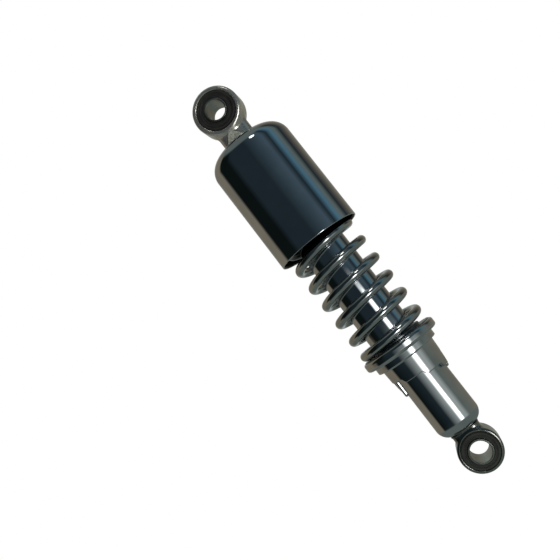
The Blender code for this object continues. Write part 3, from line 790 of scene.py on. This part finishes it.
plate_low, plate_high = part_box("top_spring_seat")
plate_r = plate_high.x
plate_hole = rod_r + rod_gap
plate_rim, plate_bevel = 0.9 * MM, 0.3 * MM
plate_profile = [(plate_hole, plate_high.z), (12.6 * MM, plate_high.z),
                 (13.4 * MM, plate_high.z - plate_bevel), (14.8 * MM, plate_low.z + 2.3 * MM),
                 (15.6 * MM, plate_low.z + 2.1 * MM)]
plate_profile += arc((plate_r - plate_rim, plate_low.z + plate_rim + plate_bevel), plate_rim, 90, 0, 5)
plate_profile += [(plate_r, plate_low.z + plate_bevel), (plate_r - plate_bevel, plate_low.z),
                  (plate_hole, plate_low.z)]
plate = revolve("pressed_top_seat", plate_profile, 128, oiled_steel)
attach(plate, "upper_half")
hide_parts("top_spring_seat")


# ---- What is inside the damper -------------------------------------------------------------------
# The piston with its discs and nut on the rod, the gland round it, the pressure tube and the foot
# valve. All are machined in the ordinary way and run in oil, so they keep a clean dull shine.
cast_aluminium = machined("machined_cast_aluminium", "#a9a9a7", "#c0c0be", 0.38, 0.35 * MM)
sintered_bronze = machined("sintered_bronze", "#8d6d3f", "#a98652", 0.42, 0.25 * MM)
nitrile = moulded_rubber("moulded_nitrile_rubber", "#1e1e1d", "#2a2a29", 0.6 * MM)
nylon, nylon_shader = new_material("glass_filled_nylon", IOR=1.53)
nylon_colour = ramp(nylon, speckle(nylon, 2 * MM, 3), [(0.35, "#232322"), (0.7, "#2f2f2d")])
nylon.node_tree.links.new(nylon_colour, nylon_shader.inputs["Base Color"])
nylon.node_tree.links.new(spread(nylon, speckle(nylon, 0.5 * MM, 3), 0.35, 0.5),
                          nylon_shader.inputs["Roughness"])
inside_finishes = {
    "rod_lock_nut": oiled_steel, "rebound_stop": nitrile, "compression_valve_disc": oiled_steel,
    "piston": oiled_steel, "piston_ring": nylon, "rebound_valve_disc": oiled_steel,
    "piston_nut": oiled_steel, "rod_guide": cast_aluminium, "rod_guide_bush": sintered_bronze,
    "rod_oil_seal": nitrile, "gland_ring": oiled_steel, "dust_wiper": nitrile,
    "pressure_tube": oiled_steel, "foot_valve_body": cast_aluminium, "foot_valve_disc": oiled_steel,
    "foot_valve_spring": oiled_steel, "foot_valve_rivet": oiled_steel,
}
for node, finish in inside_finishes.items():
    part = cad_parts[node]
    part.data.materials.clear()
    part.data.materials.append(finish)


# ---- Setting -------------------------------------------------------------------------------------
# A pale floor and a soft tent of light. The tent is plain to the eye and lights the rubber evenly.
# The plated pieces mirror its boards: dark cloth in front, tan and pale boards behind, one window.
floor_mesh = bpy.data.meshes.new("floor")
floor_half, floor_depth = 30.0, -1 * MM
floor_mesh.from_pydata([(-floor_half, -floor_half, floor_depth), (floor_half, -floor_half, floor_depth),
                        (floor_half, floor_half, floor_depth), (-floor_half, floor_half, floor_depth)],
                       [], [(0, 1, 2, 3)])
floor = bpy.data.objects.new("floor", floor_mesh)
bpy.context.scene.collection.objects.link(floor)
floor_finish = bpy.data.materials.new("pale_floor")
floor_finish.use_nodes = True
floor_finish.node_tree.nodes.clear()
glow = add_node(floor_finish, "ShaderNodeEmission", {"Color": linear("#ffffff"), "Strength": 1.0})
add_node(floor_finish, "ShaderNodeOutputMaterial", Surface=glow.outputs["Emission"])
floor_mesh.materials.append(floor_finish)
floor.visible_glossy = False

shot_azimuth = math.radians(4.5)
world = bpy.data.worlds.new("tent")
world.use_nodes = True
world.node_tree.nodes.clear()
bpy.context.scene.world = world


def math_node(operation, *values):
    """A Math node on sockets or plain numbers."""
    node = add_node(world, "ShaderNodeMath", {"operation": operation})
    for socket, value in zip(node.inputs, values):
        if isinstance(value, (int, float)):
            socket.default_value = value
        else:
            world.node_tree.links.new(value, socket)
    return node.outputs["Value"]


def panels(azimuth, edges):
    """A ring of panels: the colour seen at each azimuth in degrees, blended from one to the next."""
    return ramp(world, azimuth, [((degrees + 180) / 360, colour) for degrees, colour in edges])


def mix_colour(share, first, second):
    """A blend of two colours, or of a colour and a hex value."""
    node = add_node(world, "ShaderNodeMix", {"data_type": "RGBA"})
    for socket, value in ((node.inputs[0], share), (node.inputs[6], first), (node.inputs[7], second)):
        if isinstance(value, str):
            socket.default_value = linear(value)
        elif isinstance(value, (int, float, tuple)):
            socket.default_value = value
        else:
            world.node_tree.links.new(value, socket)
    return node.outputs[2]


def window(value, low, high, blur):
    """1 between two values, falling to 0 over the blur on either side."""
    up = add_node(world, "ShaderNodeMapRange",
                  {"interpolation_type": "SMOOTHSTEP", "From Min": low - blur, "From Max": low},
                  Value=value)
    down = add_node(world, "ShaderNodeMapRange",
                    {"interpolation_type": "SMOOTHSTEP", "From Min": high, "From Max": high + blur,
                     "To Min": 1.0, "To Max": 0.0}, Value=value)
    return math_node("MULTIPLY", up.outputs["Result"], down.outputs["Result"])


way = add_node(world, "ShaderNodeTexCoord").outputs["Generated"]
xyz = add_node(world, "ShaderNodeSeparateXYZ", Vector=way)
raw_azimuth = math_node("ARCTAN2", xyz.outputs["X"], math_node("MULTIPLY", xyz.outputs["Y"], -1.0))
shifted = math_node("ADD", raw_azimuth, math.pi - shot_azimuth)
azimuth = math_node("MULTIPLY", math_node("MODULO", math_node("ADD", shifted, 2 * math.pi), 2 * math.pi),
                    1 / (2 * math.pi))
elevation = math_node("MULTIPLY", math_node("ARCSINE", xyz.outputs["Z"]), 180 / math.pi)

# Broad boards and cloths in a few plain tones stand round the object, at round angles. One set
# stands from the horizon up and one lies low. Overhead and on the table each tone is even.
black_cloth, dark_cloth, slate_board = "#0e1413", "#202a2f", "#43535c"
blue_board, grey_board, tan_board, pale_board = "#4c7080", "#5f6864", "#787264", "#a2a8a5"
upper_ring = panels(azimuth, [
    (-180, pale_board), (-150, tan_board), (-110, tan_board), (-100, black_cloth), (-65, black_cloth),
    (-50, dark_cloth), (0, dark_cloth), (50, slate_board), (65, dark_cloth), (80, blue_board),
    (95, grey_board), (110, dark_cloth), (150, tan_board), (180, pale_board),
])
lower_ring = panels(azimuth, [
    (-180, pale_board), (-150, tan_board), (-95, tan_board), (-85, black_cloth), (-30, dark_cloth),
    (10, pale_board), (45, pale_board), (65, grey_board), (150, tan_board), (180, pale_board),
])


def rising(value, low, high):
    """0 below the first value and 1 above the second, with a soft step between."""
    return add_node(world, "ShaderNodeMapRange", {"interpolation_type": "SMOOTHSTEP", "From Min": low,
                    "From Max": high}, Value=value).outputs["Result"]


def pane(across, upward):
    """A panel between two azimuths and two elevations, each span given as low, high and blur."""
    return math_node("MULTIPLY", window(degrees, *across), window(elevation, *upward))


degrees = math_node("SUBTRACT", math_node("MULTIPLY", azimuth, 360.0), 180.0)
around = mix_colour(rising(elevation, -6.0, 0.0), lower_ring, upper_ring)
around = mix_colour(rising(elevation, 50.0, 65.0), around, grey_board)
around = mix_colour(rising(math_node("MULTIPLY", elevation, -1.0), 12.0, 25.0), around, grey_board)

# One tall narrow window with soft sides and a bright core, and one small lamp high on the right.
window_tone, core_tone, lamp_tone = (1.6, 1.65, 1.6, 1.0), (7.0, 7.0, 6.8, 1.0), (4.0, 4.0, 3.8, 1.0)
around = mix_colour(pane((15.0, 25.0, 10.0), (-15.0, 0.0, 5.0)), around, window_tone)
around = mix_colour(pane((18.0, 25.0, 3.0), (-13.0, 0.0, 2.5)), around, core_tone)
lamp_way = Vector((0.432, -0.544, 0.719)).normalized()
facing = add_node(world, "ShaderNodeVectorMath", {"operation": "DOT_PRODUCT", "1": lamp_way}, in0=way)
lamp = window(facing.outputs["Value"], math.cos(math.radians(5.5)), 2.0, 0.002)
around = mix_colour(lamp, around, lamp_tone)

ray = add_node(world, "ShaderNodeLightPath")
seen = add_node(world, "ShaderNodeBackground", Color=around)
even = add_node(world, "ShaderNodeBackground", {"Color": linear("#dfe3e6"), "Strength": 0.9})
white = add_node(world, "ShaderNodeBackground", {"Color": linear("#ffffff"), "Strength": 1.0})
lit = add_node(world, "ShaderNodeMixShader", in0=ray.outputs["Is Diffuse Ray"],
               in1=seen.outputs["Background"], in2=even.outputs["Background"])
shown = add_node(world, "ShaderNodeMixShader", in0=ray.outputs["Is Camera Ray"],
                 in1=lit.outputs["Shader"], in2=white.outputs["Background"])
add_node(world, "ShaderNodeOutputWorld", Surface=shown.outputs["Shader"])

bpy.context.scene.view_settings.view_transform = "Standard"

shot_distance, shot_height = 0.49305, lower_eye_z + 0.1232
aim_side, aim_height = -0.04174, lower_eye_z + 0.18636
shot_roll = math.radians(37.257)
place = Vector((shot_distance * math.sin(shot_azimuth), -shot_distance * math.cos(shot_azimuth),
                shot_height))
aim = Vector((aim_side * math.cos(shot_azimuth), aim_side * math.sin(shot_azimuth), aim_height))
camera_data = bpy.data.cameras.new("camera")
camera_data.sensor_width = 36.0
camera_data.lens = 41.79
camera = bpy.data.objects.new("camera", camera_data)
bpy.context.scene.collection.objects.link(camera)
look = (aim - place).to_track_quat("-Z", "Y").to_matrix().to_4x4()
camera.matrix_world = Matrix.Translation(place) @ look @ Matrix.Rotation(-shot_roll, 4, "Z")
bpy.context.scene.camera = camera
